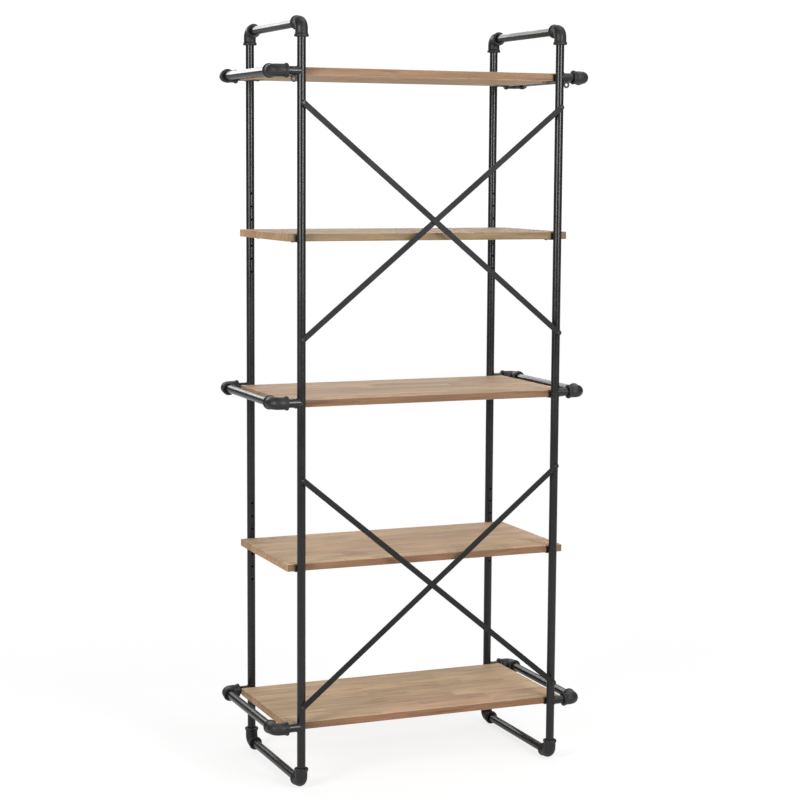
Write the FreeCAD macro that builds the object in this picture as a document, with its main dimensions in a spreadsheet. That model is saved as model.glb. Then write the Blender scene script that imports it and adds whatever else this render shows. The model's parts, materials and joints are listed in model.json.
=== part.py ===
"""Bookcase with adjustable shelves: a black pipe frame that carries five pine boards.

Millimetres. The origin is on the floor, in the middle of the four uprights. +Z is up, -Y points
out of the braced side and +X is to the right of someone who faces that side.

Each end frame is two uprights joined by a foot bar and a top bar through cast elbows. An upright
is two tubes that meet over an inner sleeve at half height. The bottom, middle and top boards are
level with U-shaped rails outside both ends. The two boards between them have no rails: the pins
of their supports fit a row of holes in each upright, so those boards can be set higher or lower.
Two pairs of flat bars brace one side, and two eyes on that side take wall anchors.
"""
import FreeCAD, Part
import os
import Sketcher

from FreeCAD import Placement, Rotation, Vector

SIZES = (
    ("overall_height", 1800, "floor to the top of the upper elbows"),
    ("upright_spacing", 654, "between upright axes, along X"),
    ("upright_depth", 372, "between upright axes, along Y"),
    ("tube_diameter", 20, "every pipe of the frame"),
    ("tube_wall", 1.5, ""),
    ("seam_gap", 0.2, "between the two halves of an upright"),
    ("sleeve_length", 80, "inner sleeve of an upright"),
    ("sleeve_wall", 2, ""),
    ("sleeve_gap", 0.15, "sleeve to tube, on the radius"),
    ("elbow_wall", 4.6, "body of an elbow round its socket"),
    ("throat_radius", 0.4, "inner corner of an elbow"),
    ("collar_wall", 6.8, "collar at each mouth of an elbow"),
    ("collar_length", 8, "with its flare"),
    ("collar_flare", 4, ""),
    ("collar_bevel", 1.2, "at the mouth"),
    ("socket_depth", 18, "how far a tube goes into an elbow"),
    ("socket_gap", 0.2, "tube to socket, on the radius"),
    ("seat_gap", 0.2, "tube end to the bottom of its socket"),
    ("weld_gap", 0.1, "coped tube end to the tube it is welded to"),
    ("board_thickness", 18, ""),
    ("board_overhang", 31, "board end past the upright axis"),
    ("board_gap", 2, "board edge to the uprights"),
    ("board_easing", 1.5, "radius along the edges of a board"),
    ("collar_clearance", 2.3, "board end to the collars of the rails"),
    ("bottom_shelf_top", 157, "above the floor"),
    ("middle_shelf_offset", 22, "above half height"),
    ("top_shelf_drop", 117, "below the overall height"),
    ("lower_shelf_offset", -2, "from half way between its neighbours"),
    ("upper_shelf_offset", 3, "from half way between its neighbours"),
    ("low_rail_height", 149, "rail axis above the floor"),
    ("middle_rail_offset", 17, "rail axis above half height"),
    ("high_rail_drop", 126, "rail axis below the overall height"),
    ("support_width", 22, "bent plate that carries a board"),
    ("support_thickness", 1.5, ""),
    ("support_height", 14, "upright plate, above its tab"),
    ("support_bend", 2, "outer radius of the bend"),
    ("tab_length", 60, "under the board"),
    ("tab_gap", 0.1, "tab to the underside of the board"),
    ("screw_inset", 50, "board screw from the plate"),
    ("pin_diameter", 5, ""),
    ("pin_length", 6, "outside the plate"),
    ("pin_height", 9, "above the tab"),
    ("pin_gap", 0.15, "pin to hole, on the radius"),
    ("hole_pitch", 32, "rows of holes in the uprights"),
    ("screw_diameter", 4, "board screws"),
    ("screw_length", 14, ""),
    ("screw_head_diameter", 8, ""),
    ("screw_head_height", 2.4, ""),
    ("screw_recess", 2.7, "square recess, across its corners"),
    ("screw_gap", 0.1, "any screw to its hole, on the radius"),
    ("contact_gap", 0.05, "between faces that are clamped together"),
    ("brace_width", 13.5, "flat bar"),
    ("brace_thickness", 3, ""),
    ("brace_air", 0.3, "between the two bars of a cross"),
    ("brace_end_offset", 198, "outer end, from the floor or the overall height"),
    ("brace_seam_offset", 163, "inner end, from half height"),
    ("bolt_diameter", 5, "brace screws"),
    ("bolt_head_diameter", 9.5, ""),
    ("bolt_head_height", 2.6, ""),
    ("bolt_rim_height", 0.9, "straight rim of the head"),
    ("bolt_crown_diameter", 5.9, "flat top of the head"),
    ("hex_socket", 3, "across flats"),
    ("insert_diameter", 7, "threaded insert for a brace screw"),
    ("insert_flange_diameter", 10, ""),
    ("insert_flange", 0.8, ""),
    ("insert_length", 12, ""),
    ("spacer_diameter", 11, "under the outer bar of a cross"),
    ("eye_diameter", 16, "wall-anchor eye"),
    ("eye_hole", 6.5, ""),
    ("eye_thickness", 3, ""),
    ("eye_gap", 0.3, "eye to the upright beside it"),
)

HOLES_EACH_WAY = 3

# Formulas over the sheet, in the sheet's own aliases.
HALF_X = "(dims.upright_spacing / 2)"
HALF_Y = "(dims.upright_depth / 2)"
TUBE_RADIUS = "(dims.tube_diameter / 2)"
BORE_RADIUS = f"({TUBE_RADIUS} - dims.tube_wall)"
SOCKET_RADIUS = f"({TUBE_RADIUS} + dims.socket_gap)"
ELBOW_RADIUS = f"({SOCKET_RADIUS} + dims.elbow_wall)"
COLLAR_RADIUS = f"({SOCKET_RADIUS} + dims.collar_wall)"
ELBOW_BEND = f"({ELBOW_RADIUS} + dims.throat_radius)"
ELBOW_REACH = f"({ELBOW_BEND} + dims.socket_depth)"
TUBE_START = f"({ELBOW_BEND} + dims.seat_gap)"
HALF_HEIGHT = "(dims.overall_height / 2)"
FOOT_AXIS = COLLAR_RADIUS
TOP_AXIS = f"(dims.overall_height - {COLLAR_RADIUS})"
RAIL_OUTSET = f"(dims.board_overhang + dims.collar_clearance + {ELBOW_REACH})"
RAIL_X = f"({HALF_X} + {RAIL_OUTSET})"
BAR_LENGTH = f"(dims.upright_depth - 2 * {TUBE_START})"
PLATE_CLEARANCE = "((dims.board_gap - dims.support_thickness) / 2)"
PLATE_Y = f"({HALF_Y} - {TUBE_RADIUS} - {PLATE_CLEARANCE})"
SCREW_Y = f"({PLATE_Y} - dims.screw_inset)"
BOARD_DEPTH = "(dims.upright_depth - dims.tube_diameter - 2 * dims.board_gap)"
BOARD_LENGTH = "(dims.upright_spacing + 2 * dims.board_overhang)"
FLANGE_Y = f"({HALF_Y} + {TUBE_RADIUS} + dims.contact_gap + dims.insert_flange)"
INNER_BAR_Y = f"({FLANGE_Y} + dims.contact_gap)"
SPACER_LENGTH = "(dims.brace_thickness + dims.brace_air - dims.contact_gap)"
OUTER_BAR_Y = f"({INNER_BAR_Y} + {SPACER_LENGTH} + dims.contact_gap)"

BOTTOM_TOP = "dims.bottom_shelf_top"
MIDDLE_TOP = f"({HALF_HEIGHT} + dims.middle_shelf_offset)"
HIGH_TOP = "(dims.overall_height - dims.top_shelf_drop)"
SHELF_TOPS = {
    "bottom": BOTTOM_TOP,
    "lower": f"(({BOTTOM_TOP} + {MIDDLE_TOP}) / 2 + dims.lower_shelf_offset)",
    "middle": MIDDLE_TOP,
    "upper": f"(({MIDDLE_TOP} + {HIGH_TOP}) / 2 + dims.upper_shelf_offset)",
    "top": HIGH_TOP,
}
ADJUSTABLE = ("lower", "upper")
RAIL_HEIGHTS = {
    "low": "dims.low_rail_height",
    "middle": f"({HALF_HEIGHT} + dims.middle_rail_offset)",
    "high": "(dims.overall_height - dims.high_rail_drop)",
}
RAIL_BOARDS = {"low": "bottom", "middle": "middle", "high": "top"}
BRACE_HEIGHTS = {
    "lower": ("dims.brace_end_offset", f"({HALF_HEIGHT} - dims.brace_seam_offset)"),
    "upper": (f"({HALF_HEIGHT} + dims.brace_seam_offset)", "(dims.overall_height - dims.brace_end_offset)"),
}

X, Y, Z = Vector(1, 0, 0), Vector(0, 1, 0), Vector(0, 0, 1)
HANDS = {"left": -1, "right": 1}
SIDES = {"braced": -1, "open": 1}

doc = FreeCAD.newDocument("bookcase")
nodes = []


def write_sheet():
    """Puts each driving size in its own cell, with its alias and its meaning beside it."""
    sheet = doc.addObject("Spreadsheet::Sheet", "dims")
    for row, (alias, size, meaning) in enumerate(SIZES, start=1):
        sheet.set(f"A{row}", str(size))
        sheet.setAlias(f"A{row}", alias)
        sheet.set(f"B{row}", f"{alias.replace('_', ' ')} {meaning}".strip())
    doc.recompute()


def times(sign, formula):
    """The formula with the sign of a side."""
    return formula if sign > 0 else f"-{formula}"


def place(item, at, turn=Rotation()):
    item.Placement = Placement(Vector(), turn)
    for axis, formula in zip("xyz", at):
        item.setExpression(f"Placement.Base.{axis}", formula)
    return item


def primitive(kind, name, sizes, at=("0", "0", "0"), turn=Rotation()):
    item = doc.addObject(kind, name)
    for size, formula in sizes.items():
        item.setExpression(size, formula)
    return place(item, at, turn)


def rod(name, radius, length, at, along):
    """A cylinder that starts at a point and runs along a direction."""
    sizes = {"Radius": radius, "Height": length}
    return primitive("Part::Cylinder", name, sizes, at, Rotation(Z, along))


def cone(name, radius_from, radius_to, length, at, along):
    sizes = {"Radius1": radius_from, "Radius2": radius_to, "Height": length}
    return primitive("Part::Cone", name, sizes, at, Rotation(Z, along))


def fuse(name, *pieces):
    item = doc.addObject("Part::MultiFuse", name)
    item.Shapes = list(pieces)
    return item


def cut(name, base, *tools):
    item = doc.addObject("Part::Cut", name)
    item.Base = base
    item.Tool = tools[0] if len(tools) == 1 else fuse(f"{name}_tools", *tools)
    return item


def copy_of(name, source, at, turn=Rotation()):
    item = doc.addObject("Part::Compound", name)
    item.Links = [source]
    return place(item, at, turn)


def group(name, pieces):
    item = doc.addObject("Part::Compound", name)
    item.Links = list(pieces)
    return item


def node(item, label):
    """Marks an object as a finished sub-part. Its label names its file."""
    item.Label = label
    nodes.append(item)


def pipe(name, length, at, along, *tools):
    """A piece of frame tube, with anything else that is cut from it."""
    body = rod(f"{name}_outside", TUBE_RADIUS, length, at, along)
    bore = rod(f"{name}_bore", BORE_RADIUS, length, at, along)
    return cut(name, body, bore, *tools)


def underside(level):
    return f"({SHELF_TOPS[level]} - dims.board_thickness)"


def pin_axis(level):
    return f"({underside(level)} - dims.tab_gap + dims.pin_height)"


def pin_hole(name, x_sign, y_sign, height):
    """A cutter from the upright's axis out through its inner wall."""
    start = (times(x_sign, HALF_X), times(y_sign, HALF_Y), height)
    radius = "(dims.pin_diameter / 2 + dims.pin_gap)"
    return rod(name, radius, "dims.tube_diameter", start, Y * -y_sign)


# ---- PartDesign helpers ----

def origin_plane(body, role):
    return next(plane for plane in body.Origin.OriginFeatures if plane.Role == role)


def new_sketch(body, role, name):
    sketch = body.newObject("Sketcher::SketchObject", name)
    sketch.AttachmentSupport = [(origin_plane(body, role), "")]
    sketch.MapMode = "FlatFace"
    return sketch


def draw_outline(sketch, corners):
    """A closed outline of straight lines through corners given as formulas."""
    doc.recompute()
    rough = [Vector(*(sketch.evalExpression(formula) for formula in corner), 0) for corner in corners]
    last = len(corners) - 1
    for index, start in enumerate(rough):
        sketch.addGeometry(Part.LineSegment(start, rough[(index + 1) % len(rough)]), False)
    for index in range(len(rough)):
        following = 0 if index == last else index + 1
        sketch.addConstraint(Sketcher.Constraint("Coincident", index, 2, following, 1))
    for index, corner in enumerate(corners):
        for kind, formula, value in zip(("DistanceX", "DistanceY"), corner, rough[index]):
            constraint = sketch.addConstraint(Sketcher.Constraint(kind, -1, 1, index, 1, value))
            sketch.setExpression(f"Constraints[{constraint}]", formula)


def draw_circles(sketch, circles):
    """Circles given as centre x, centre y and radius, each a formula."""
    doc.recompute()
    for index, formulas in enumerate(circles):
        x, y, radius = (sketch.evalExpression(formula) for formula in formulas)
        sketch.addGeometry(Part.Circle(Vector(x, y, 0), Z, radius), False)
        targets = (
            Sketcher.Constraint("DistanceX", -1, 1, index, 3, x),
            Sketcher.Constraint("DistanceY", -1, 1, index, 3, y),
            Sketcher.Constraint("Radius", index, radius),
        )
        for target, formula in zip(targets, formulas):
            constraint = sketch.addConstraint(target)
            sketch.setExpression(f"Constraints[{constraint}]", formula)


def pad(body, sketch, name, length, midplane=False):
    feature = body.newObject("PartDesign::Pad", name)
    feature.Profile = sketch
    feature.setExpression("Length", length)
    feature.Midplane = midplane
    doc.recompute()
    return feature


def pocket(body, sketch, name, depth, reverse=False):
    """A pocket that must take material away."""
    before = body.Shape.Volume
    feature = body.newObject("PartDesign::Pocket", name)
    feature.Profile = sketch
    feature.setExpression("Length", depth)
    feature.Reversed = reverse
    doc.recompute()
    if not body.Shape.Volume < before:
        raise ValueError(f"{name} cuts nothing")
    return feature


def fillet(body, base, name, edges, radius):
    feature = body.newObject("PartDesign::Fillet", name)
    feature.Base = (base, edges)
    feature.setExpression("Radius", radius)
    doc.recompute()
    return feature


# ---- Pipe fittings ----

def on_axis(axis, distance):
    """A point on the X or the Y axis."""
    return (distance, "0", "0") if axis == "x" else ("0", distance, "0")


def elbow_master():
    """A hollow cast elbow: its corner is at the origin, and its mouths face +X and +Y."""
    quarter = Rotation(Z, 180)
    bend_sizes = {"Radius1": ELBOW_BEND, "Radius2": ELBOW_RADIUS, "Angle3": "90"}
    way_sizes = {"Radius1": ELBOW_BEND, "Radius2": BORE_RADIUS, "Angle3": "90"}
    centre = (ELBOW_BEND, ELBOW_BEND, "0")
    outside = [primitive("Part::Torus", "elbow_bend", bend_sizes, centre, quarter)]
    inside = [primitive("Part::Torus", "elbow_way", way_sizes, centre, quarter)]
    straight = "(dims.socket_depth - dims.collar_bevel)"
    for axis, along in (("x", X), ("y", Y)):
        leg = on_axis(axis, ELBOW_BEND)
        flare = on_axis(axis, f"{ELBOW_REACH} - dims.collar_length")
        band = on_axis(axis, f"{ELBOW_REACH} - dims.collar_length + dims.collar_flare")
        rim = on_axis(axis, f"{ELBOW_REACH} - dims.collar_bevel")
        band_length = "dims.collar_length - dims.collar_flare - dims.collar_bevel"
        rim_radius = f"{COLLAR_RADIUS} - dims.collar_bevel"
        outside += [
            rod(f"elbow_leg_{axis}", ELBOW_RADIUS, straight, leg, along),
            cone(f"elbow_flare_{axis}", ELBOW_RADIUS, COLLAR_RADIUS, "dims.collar_flare", flare, along),
            rod(f"elbow_band_{axis}", COLLAR_RADIUS, band_length, band, along),
            cone(f"elbow_rim_{axis}", COLLAR_RADIUS, rim_radius, "dims.collar_bevel", rim, along),
        ]
        inside.append(rod(f"elbow_socket_{axis}", SOCKET_RADIUS, "dims.socket_depth", leg, along))
    return cut("elbow", fuse("elbow_outside", *outside), *inside)


def placed_elbow(name, master, corner, mouth, other_mouth):
    turn = Rotation(mouth, other_mouth, mouth.cross(other_mouth), "XYZ")
    return copy_of(name, master, corner, turn)


def make_end_elbows(master):
    for hand, x_sign in HANDS.items():
        for side, y_sign in SIDES.items():
            ends = (("foot", FOOT_AXIS, Z), ("top", TOP_AXIS, -Z))
            for end, height, up in ends:
                corner = (times(x_sign, HALF_X), times(y_sign, HALF_Y), height)
                label = f"{end}_elbow_{side}_{hand}"
                node(placed_elbow(f"{label}_part", master, corner, up, Y * -y_sign), label)


def make_end_bars():
    for hand, x_sign in HANDS.items():
        for end, height in (("foot", FOOT_AXIS), ("top", TOP_AXIS)):
            start = (times(x_sign, HALF_X), f"-{BAR_LENGTH} / 2", height)
            node(pipe(f"{end}_{hand}_pipe", BAR_LENGTH, start, Y), f"{end}_bar_{hand}")


def make_rails(master):
    """U-shaped rails outside both ends: two welded arms, two elbows and a bar."""
    reach = f"({RAIL_OUTSET} - {TUBE_START})"
    cope_radius = f"({TUBE_RADIUS} + dims.weld_gap)"
    for level, height in RAIL_HEIGHTS.items():
        for hand, x_sign in HANDS.items():
            name = f"{level}_{hand}"
            arms, elbows = [], []
            for side, y_sign in SIDES.items():
                y = times(y_sign, HALF_Y)
                below = (times(x_sign, HALF_X), y, f"{height} - dims.tube_diameter")
                cope = rod(f"{name}_{side}_cope", cope_radius, "2 * dims.tube_diameter", below, Z)
                pin = pin_hole(f"{name}_{side}_pin_way", x_sign, y_sign, pin_axis(RAIL_BOARDS[level]))
                start = (times(x_sign, HALF_X), y, height)
                arms.append(pipe(f"{name}_{side}_arm", reach, start, X * x_sign, cope, pin))
                corner = (times(x_sign, RAIL_X), y, height)
                mouths = (X * -x_sign, Y * -y_sign)
                elbows.append(placed_elbow(f"{name}_{side}_elbow", master, corner, *mouths))
            node(group(f"{name}_arms", arms), f"{level}_rail_arms_{hand}")
            node(group(f"{name}_elbows", elbows), f"{level}_rail_elbows_{hand}")
            start = (times(x_sign, RAIL_X), f"-{BAR_LENGTH} / 2", height)
            node(pipe(f"{name}_bar", BAR_LENGTH, start, Y), f"{level}_rail_bar_{hand}")


# ---- Uprights ----

def insert_hole(name, x_sign, height):
    start = (times(x_sign, HALF_X), f"-{HALF_Y}", height)
    radius = "(dims.insert_diameter / 2 + dims.screw_gap)"
    return rod(name, radius, "dims.tube_diameter", start, -Y)


def make_upright(hand, x_sign, side, y_sign, half):
    """Half an upright, with its row of holes, its fixed pin holes and its insert holes."""
    name = f"{side}_{hand}_{half}"
    seam = f"({HALF_HEIGHT} - dims.seam_gap / 2)"
    length = f"({seam} - {FOOT_AXIS} - {TUBE_START})"
    low = f"({FOOT_AXIS} + {TUBE_START})" if half == "lower" else f"({HALF_HEIGHT} + dims.seam_gap / 2)"
    fixed = ("bottom",) if half == "lower" else ("middle", "top")
    steps = range(-HOLES_EACH_WAY, HOLES_EACH_WAY + 1)
    heights = [f"{pin_axis(half)} + {step} * dims.hole_pitch" for step in steps]
    heights += [pin_axis(level) for level in fixed]
    holes = [
        pin_hole(f"{name}_pin_hole_{index}", x_sign, y_sign, height)
        for index, height in enumerate(heights)
    ]
    if side == "braced":
        holes += [
            insert_hole(f"{name}_insert_hole_{index}", x_sign, height)
            for index, height in enumerate(BRACE_HEIGHTS[half])
        ]
    start = (times(x_sign, HALF_X), times(y_sign, HALF_Y), low)
    node(pipe(f"{name}_pipe", length, start, Z, *holes), f"upright_{side}_{hand}_{half}")


def make_sleeves():
    """The sleeves inside the uprights. The pins of the middle supports go through them."""
    radius = f"({BORE_RADIUS} - dims.sleeve_gap)"
    sleeves = []
    for hand, x_sign in HANDS.items():
        for side, y_sign in SIDES.items():
            name = f"sleeve_{side}_{hand}"
            bottom = f"{HALF_HEIGHT} - dims.sleeve_length / 2"
            start = (times(x_sign, HALF_X), times(y_sign, HALF_Y), bottom)
            body = rod(f"{name}_outside", radius, "dims.sleeve_length", start, Z)
            bore = rod(f"{name}_bore", f"{radius} - dims.sleeve_wall", "dims.sleeve_length", start, Z)
            hole = pin_hole(f"{name}_hole", x_sign, y_sign, pin_axis("middle"))
            sleeves.append(cut(name, body, bore, hole))
    node(group("sleeves", sleeves), "upright_sleeves")


# ---- Shelves ----

def make_board(level):
    """A board with eased edges and four pilot holes in its underside."""
    body = doc.addObject("PartDesign::Body", f"{level}_board")
    half_length, half_depth = f"({BOARD_LENGTH} / 2)", f"({BOARD_DEPTH} / 2)"
    outline = new_sketch(body, "XY_Plane", f"{level}_board_outline")
    signs = ((-1, -1), (1, -1), (1, 1), (-1, 1))
    draw_outline(outline, [(times(x, half_length), times(y, half_depth)) for x, y in signs])
    slab = pad(body, outline, f"{level}_board_slab", "dims.board_thickness")
    edges = [f"Edge{index + 1}" for index in range(len(slab.Shape.Edges))]
    fillet(body, slab, f"{level}_board_easing", edges, "dims.board_easing")
    pilots = new_sketch(body, "XY_Plane", f"{level}_board_pilots")
    radius = "dims.screw_diameter / 2 + dims.screw_gap"
    draw_circles(pilots, [(times(x, HALF_X), times(y, SCREW_Y), radius) for x, y in signs])
    pocket(body, pilots, f"{level}_board_pilot_holes", "dims.screw_length", reverse=True)
    place(body, ("0", "0", underside(level)))
    node(body, f"shelf_{level}")


def support_master():
    """A bent plate with a pin: the plate faces -Y, its tab runs along +Y with its top at Z = 0."""
    body = doc.addObject("PartDesign::Body", "support")
    section = new_sketch(body, "YZ_Plane", "support_section")
    thickness, height, tab = "dims.support_thickness", "dims.support_height", "dims.tab_length"
    corners = [
        ("0", f"-{thickness}"), (tab, f"-{thickness}"), (tab, "0"),
        (thickness, "0"), (thickness, height), ("0", height),
    ]
    draw_outline(section, corners)
    plate = pad(body, section, "support_plate", "dims.support_width", midplane=True)
    bend = [
        f"Edge{index}" for index, edge in enumerate(plate.Shape.Edges, start=1)
        if all(abs(point.Point.y) < 1e-6 and point.Point.z < -1e-6 for point in edge.Vertexes)
    ]
    fillet(body, plate, "support_bend", bend, "dims.support_bend")
    spot = new_sketch(body, "XZ_Plane", "support_pin_outline")
    draw_circles(spot, [("0", "dims.pin_height", "dims.pin_diameter / 2")])
    pad(body, spot, "support_pin", "dims.pin_length")
    hole = new_sketch(body, "XY_Plane", "support_screw_outline")
    draw_circles(hole, [("0", "dims.screw_inset", "dims.screw_diameter / 2 + dims.screw_gap")])
    pocket(body, hole, "support_screw_hole", "2 * dims.support_thickness")
    return body


def board_screw_master():
    """A pan-head screw that points up, with the top of its shank's seat at Z = 0."""
    head_radius = "(dims.screw_head_diameter / 2)"
    crown = "(dims.screw_head_height / 2)"
    point = "(dims.screw_diameter / 2)"
    base = ("0", "0", "0")
    middle = ("0", "0", f"-{crown}")
    straight = f"dims.screw_length - {point}"
    shank = rod("screw_shank", "dims.screw_diameter / 2", straight, base, Z)
    tip = cone("screw_tip", "dims.screw_diameter / 2", "0", point, ("0", "0", straight), Z)
    head = rod("screw_head", head_radius, crown, base, -Z)
    dome = cone("screw_dome", head_radius, f"{head_radius} / 2", crown, middle, -Z)
    recess_at = ("0", "0", "-dims.screw_head_height")
    recess_sizes = {"Circumradius": "dims.screw_recess / 2", "Height": crown}
    recess = primitive("Part::Prism", "screw_recess", recess_sizes, recess_at)
    recess.Polygon = 4
    return cut("board_screw", fuse("screw_body", shank, tip, head, dome), recess)


def corners_of(level):
    for hand, x_sign in HANDS.items():
        for side, y_sign in SIDES.items():
            yield f"{level}_{side}_{hand}", x_sign, y_sign


def placed_supports(level, master):
    height = f"{underside(level)} - dims.tab_gap"
    return [
        copy_of(f"{name}_support", master, (times(x, HALF_X), times(y, PLATE_Y), height),
                Rotation(Z, 0 if y < 0 else 180))
        for name, x, y in corners_of(level)
    ]


def placed_screws(level, master):
    height = f"{underside(level)} - dims.tab_gap - dims.support_thickness - dims.contact_gap"
    return [
        copy_of(f"{name}_screw", master, (times(x, HALF_X), times(y, SCREW_Y), height))
        for name, x, y in corners_of(level)
    ]


def make_shelves():
    support = support_master()
    screw = board_screw_master()
    fixed_screws = []
    for level in SHELF_TOPS:
        make_board(level)
        node(group(f"{level}_supports", placed_supports(level, support)), f"supports_{level}")
        screws = placed_screws(level, screw)
        if level in ADJUSTABLE:
            node(group(f"{level}_screws", screws), f"screws_{level}")
        else:
            fixed_screws += screws
    node(group("fixed_screws", fixed_screws), "fixed_shelf_screws")


# ---- Braces ----

def make_brace(cross, heights, name, axis, y):
    """A flat bar with round ends, from one upright to the other, turned about the Y axis."""
    low, high = heights
    rise = f"({high} - {low})"
    span = f"sqrt(dims.upright_spacing ^ 2 + {rise} ^ 2)"
    key = f"{cross}_{name}"
    half_width = "dims.brace_width / 2"
    bar_at = (f"-{span} / 2", "-dims.brace_thickness", f"-{half_width}")
    bar_sizes = {"Length": span, "Width": "dims.brace_thickness", "Height": "dims.brace_width"}
    pieces = [primitive("Part::Box", f"{key}_bar", bar_sizes, bar_at)]
    holes = []
    for end, sign in HANDS.items():
        at = (times(sign, f"({span} / 2)"), "0", "0")
        pieces.append(rod(f"{key}_{end}_end", half_width, "dims.brace_thickness", at, -Y))
        radius = "dims.bolt_diameter / 2 + dims.screw_gap"
        holes.append(rod(f"{key}_{end}_hole", radius, "dims.brace_thickness", at, -Y))
    brace = cut(f"{key}_brace", fuse(f"{key}_blank", *pieces), *holes)
    place(brace, ("0", f"-{y}", f"({low} + {high}) / 2"), Rotation(axis, 1))
    brace.setExpression("Placement.Rotation.Angle", f"atan({rise} / dims.upright_spacing)")
    node(brace, f"{cross}_brace_{name}")


def bolt_master(name, shank):
    """A button-head screw along +Y, with the seat of its head at the origin."""
    head_radius = "(dims.bolt_head_diameter / 2)"
    crown = "(dims.bolt_head_height - dims.bolt_rim_height)"
    crown_at = ("0", "-dims.bolt_rim_height", "0")
    body = fuse(
        f"{name}_body",
        rod(f"{name}_shank", "dims.bolt_diameter / 2", shank, ("0", "0", "0"), Y),
        rod(f"{name}_head", head_radius, "dims.bolt_rim_height", ("0", "0", "0"), -Y),
        cone(f"{name}_dome", head_radius, "dims.bolt_crown_diameter / 2", crown, crown_at, -Y),
    )
    sizes = {"Circumradius": "dims.hex_socket / sqrt(3)", "Height": crown}
    socket_at = ("0", "-dims.bolt_head_height", "0")
    socket = primitive("Part::Prism", f"{name}_socket", sizes, socket_at, Rotation(Z, Y))
    socket.Polygon = 6
    return cut(name, body, socket)


def insert_master():
    """A flanged insert along +Y: its flange rests on the upright, and its axis is the screw's."""
    start = ("0", "0", "0")
    body = fuse(
        "insert_body",
        rod("insert_flange", "dims.insert_flange_diameter / 2", "dims.insert_flange", start, Y),
        rod("insert_barrel", "dims.insert_diameter / 2", "dims.insert_length", start, Y),
    )
    bore = rod("insert_bore", "dims.bolt_diameter / 2 + dims.screw_gap", "dims.insert_length", start, Y)
    return cut("insert", body, bore)


def spacer_master():
    start = ("0", "0", "0")
    ring = rod("spacer_outside", "dims.spacer_diameter / 2", SPACER_LENGTH, start, -Y)
    bore = rod("spacer_bore", "dims.bolt_diameter / 2 + dims.screw_gap", SPACER_LENGTH, start, -Y)
    return cut("spacer", ring, bore)


def make_bracing():
    """Two crosses. In each, the bar that falls to the right is outside, on spacers."""
    grip = "(dims.brace_thickness + dims.insert_length)"
    short_bolt = bolt_master("short_bolt", grip)
    long_bolt = bolt_master("long_bolt", f"({grip} + {SPACER_LENGTH})")
    insert, spacer = insert_master(), spacer_master()
    bolts, inserts, spacers = [], [], []
    for cross, heights in BRACE_HEIGHTS.items():
        make_brace(cross, heights, "rising", -Y, INNER_BAR_Y)
        make_brace(cross, heights, "falling", Y, OUTER_BAR_Y)
        for hand, x_sign in HANDS.items():
            x = times(x_sign, HALF_X)
            for end, height in zip(("low", "high"), heights):
                outer = (x_sign < 0) == (end == "high")
                name = f"{cross}_{hand}_{end}"
                bar_y = OUTER_BAR_Y if outer else INNER_BAR_Y
                seat = f"-({bar_y} + dims.brace_thickness + dims.contact_gap)"
                bolts.append(copy_of(f"{name}_bolt", long_bolt if outer else short_bolt, (x, seat, height)))
                inserts.append(copy_of(f"{name}_insert", insert, (x, f"-{FLANGE_Y}", height)))
                if outer:
                    spacers.append(copy_of(f"{name}_spacer", spacer, (x, f"-{INNER_BAR_Y}", height)))
    node(group("brace_bolts", bolts), "brace_screws")
    node(group("brace_bolt_inserts", inserts), "brace_inserts")
    node(group("brace_bolt_spacers", spacers), "brace_spacers")


def make_wall_eyes():
    """Rings under the braced arms of the high rails, welded to them."""
    eyes = []
    for hand, x_sign in HANDS.items():
        x = times(x_sign, f"({HALF_X} + {TUBE_RADIUS} + dims.eye_gap + dims.eye_diameter / 2)")
        height = f"{RAIL_HEIGHTS['high']} - {TUBE_RADIUS} - dims.weld_gap - dims.eye_diameter / 2"
        start = (x, f"-{HALF_Y} - dims.eye_thickness / 2", height)
        ring = rod(f"{hand}_eye_ring", "dims.eye_diameter / 2", "dims.eye_thickness", start, Y)
        hole = rod(f"{hand}_eye_hole", "dims.eye_hole / 2", "dims.eye_thickness", start, Y)
        eyes.append(cut(f"{hand}_eye", ring, hole))
    node(group("wall_eyes", eyes), "wall_anchor_eyes")


def export_nodes():
    """Stops at any failed object, and then writes each sub-part to its own file."""
    doc.recompute()
    for item in doc.Objects:
        if {"Invalid", "Error"} & set(item.State):
            raise ValueError(f"{item.Name} failed: {item.State}")
    os.makedirs("parts", exist_ok=True)
    for item in nodes:
        if item.Shape.isNull() or not item.Shape.isValid() or not item.Shape.Solids:
            raise ValueError(f"{item.Label} has no valid solid")
    for item in nodes:
        item.Shape.exportStep(f"parts/{item.Label}.step")
        print(item.Label, len(item.Shape.Solids), "solids", round(item.Shape.Volume / 1000, 1), "cm3")
    print(len(nodes), "nodes")


write_sheet()
elbow = elbow_master()
make_end_elbows(elbow)
make_end_bars()
make_rails(elbow)
for hand, x_sign in HANDS.items():
    for side, y_sign in SIDES.items():
        for half in ("lower", "upper"):
            make_upright(hand, x_sign, side, y_sign, half)
make_sleeves()
make_shelves()
make_bracing()
make_wall_eyes()
export_nodes()
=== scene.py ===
"""Looks of a pipe-frame bookcase: cast elbows, flat bars, welds, eyes and finger-jointed pine boards.

Everything is in metres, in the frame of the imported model. The tubes, supports and fasteners keep
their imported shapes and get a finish. The elbows, flat bars, boards and eyes are modelled here in
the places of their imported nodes, and the weld beads are added to the welded joints.
"""
from __future__ import annotations

import json
import logging
import math
import random
from collections.abc import Callable, Iterable
from dataclasses import dataclass
from enum import Enum

import bmesh
import bpy
from mathutils import Euler, Matrix, Vector

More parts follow.
